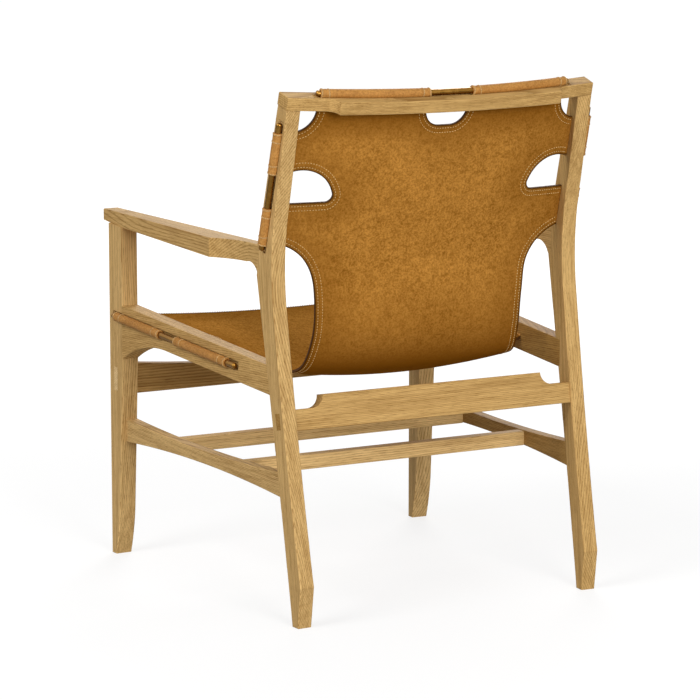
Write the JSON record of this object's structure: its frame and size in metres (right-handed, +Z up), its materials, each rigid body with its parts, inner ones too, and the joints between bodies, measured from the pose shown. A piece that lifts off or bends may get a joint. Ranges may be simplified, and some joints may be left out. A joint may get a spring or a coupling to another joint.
{
  "type": "sling leather easy chair",
  "caption": "Low easy chair: a splayed oak frame with level arms and a leather sling whose sewn loops close round metal rods let into the wood.",
  "frame": {"origin": "on the floor under the middle of the chair's box", "axes": "+Z up, +X to the sitter's left, the chair's front faces -Y"},
  "size_m": [0.636, 0.6663, 0.8429],
  "materials": {
    "oak": "soaped light oak, straight grain",
    "sling_leather": "thick saddle leather, waxed, tan",
    "loop_leather": "smooth tan leather, lighter than the sling",
    "thread": "waxed linen thread",
    "rod_bronze": "dark bronzed brass, polished"
  },
  "bodies": {
    "root": {"rear_leg_left": "oak", "rear_leg_right": "oak", "front_leg_left": "oak", "front_leg_right": "oak", "arm_left": "oak", "arm_right": "oak", "seat_rail_left": "oak", "seat_rail_right": "oak", "side_stretcher_left": "oak", "side_stretcher_right": "oak", "rear_rail": "oak", "front_rail": "oak", "cross_stretcher_front": "oak", "cross_stretcher_rear": "oak", "crest_rail": "oak", "crest_rod": "rod_bronze", "back_rod_left": "rod_bronze", "back_rod_right": "rod_bronze", "seat_rod_left": "rod_bronze", "seat_rod_right": "rod_bronze", "crest_loop_left": "loop_leather", "crest_loop_right": "loop_leather", "back_loop_lower_left": "loop_leather", "back_loop_lower_right": "loop_leather", "back_loop_upper_left": "loop_leather", "back_loop_upper_right": "loop_leather", "seat_loop_front_left": "loop_leather", "seat_loop_front_right": "loop_leather", "seat_loop_rear_left": "loop_leather", "seat_loop_rear_right": "loop_leather", "crest_bindings": "thread", "back_bindings_left": "thread", "back_bindings_right": "thread", "seat_bindings_left": "thread", "seat_bindings_right": "thread", "sling": "sling_leather"}
  },
  "joints": []
}
